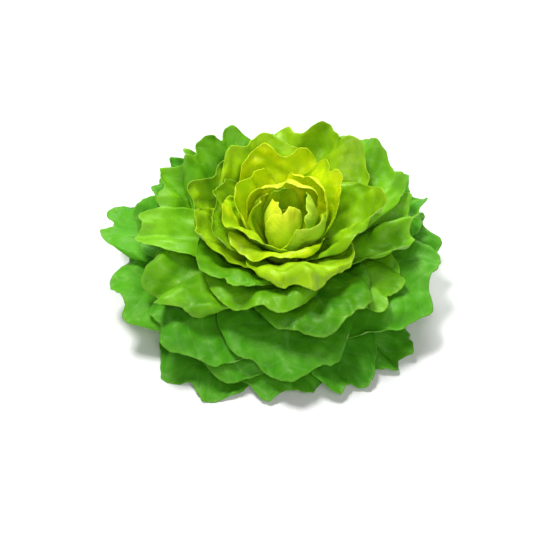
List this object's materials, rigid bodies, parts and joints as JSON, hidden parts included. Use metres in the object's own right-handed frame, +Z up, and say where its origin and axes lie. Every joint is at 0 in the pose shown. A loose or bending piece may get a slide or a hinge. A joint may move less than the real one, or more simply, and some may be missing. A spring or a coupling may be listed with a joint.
{
  "type": "butterhead lettuce head",
  "caption": "Loose head of green butterhead lettuce: ruffled leaves open in a rosette round a pale heart, on a short cut stem that it stands on.",
  "frame": {"origin": "centre of the flat cut face at the bottom of the stem", "axes": "+Z up along the stem towards the heart, -Y towards the side that the picture shows, +X to that viewer's right"},
  "size_m": [0.2699, 0.2434, 0.1165],
  "materials": {
    "stem_flesh": "moist cut plant flesh, matte",
    "heart_leaf": "tender yellow-green leaf, satin",
    "inner_leaf": "bright green leaf, satin",
    "middle_leaf": "mid green leaf, satin",
    "outer_leaf": "deeper green leaf with a pale bloom, satin"
  },
  "bodies": {
    "root": {"stem": "stem_flesh", "leaf_heart_1": "heart_leaf", "leaf_heart_2": "heart_leaf", "leaf_heart_3": "heart_leaf", "leaf_heart_4": "heart_leaf", "leaf_heart_5": "heart_leaf", "leaf_heart_6": "heart_leaf", "leaf_heart_7": "heart_leaf", "leaf_heart_8": "heart_leaf", "leaf_heart_9": "heart_leaf", "leaf_heart_10": "heart_leaf", "leaf_heart_11": "heart_leaf", "leaf_heart_12": "heart_leaf", "leaf_heart_13": "heart_leaf", "leaf_heart_14": "heart_leaf", "leaf_heart_15": "heart_leaf", "leaf_inner_1": "inner_leaf", "leaf_inner_2": "inner_leaf", "leaf_inner_3": "inner_leaf", "leaf_inner_4": "inner_leaf", "leaf_inner_5": "inner_leaf", "leaf_inner_6": "inner_leaf", "leaf_inner_7": "inner_leaf", "leaf_middle_1": "middle_leaf", "leaf_middle_2": "middle_leaf", "leaf_middle_3": "middle_leaf", "leaf_middle_4": "middle_leaf", "leaf_middle_5": "middle_leaf", "leaf_middle_6": "middle_leaf", "leaf_middle_7": "middle_leaf", "leaf_middle_8": "middle_leaf", "leaf_middle_9": "middle_leaf", "leaf_middle_10": "middle_leaf", "leaf_middle_11": "middle_leaf", "leaf_middle_12": "middle_leaf", "leaf_outer_1": "outer_leaf", "leaf_outer_2": "outer_leaf", "leaf_outer_3": "outer_leaf", "leaf_outer_4": "outer_leaf", "leaf_outer_5": "outer_leaf", "leaf_outer_6": "outer_leaf", "leaf_outer_7": "outer_leaf", "leaf_outer_8": "outer_leaf", "leaf_outer_9": "outer_leaf", "leaf_outer_10": "outer_leaf", "leaf_outer_11": "outer_leaf", "leaf_outer_12": "outer_leaf", "leaf_outer_13": "outer_leaf", "leaf_outer_14": "outer_leaf", "leaf_outer_15": "outer_leaf", "leaf_outer_16": "outer_leaf", "leaf_outer_17": "outer_leaf", "leaf_outer_18": "outer_leaf"}
  },
  "joints": []
}
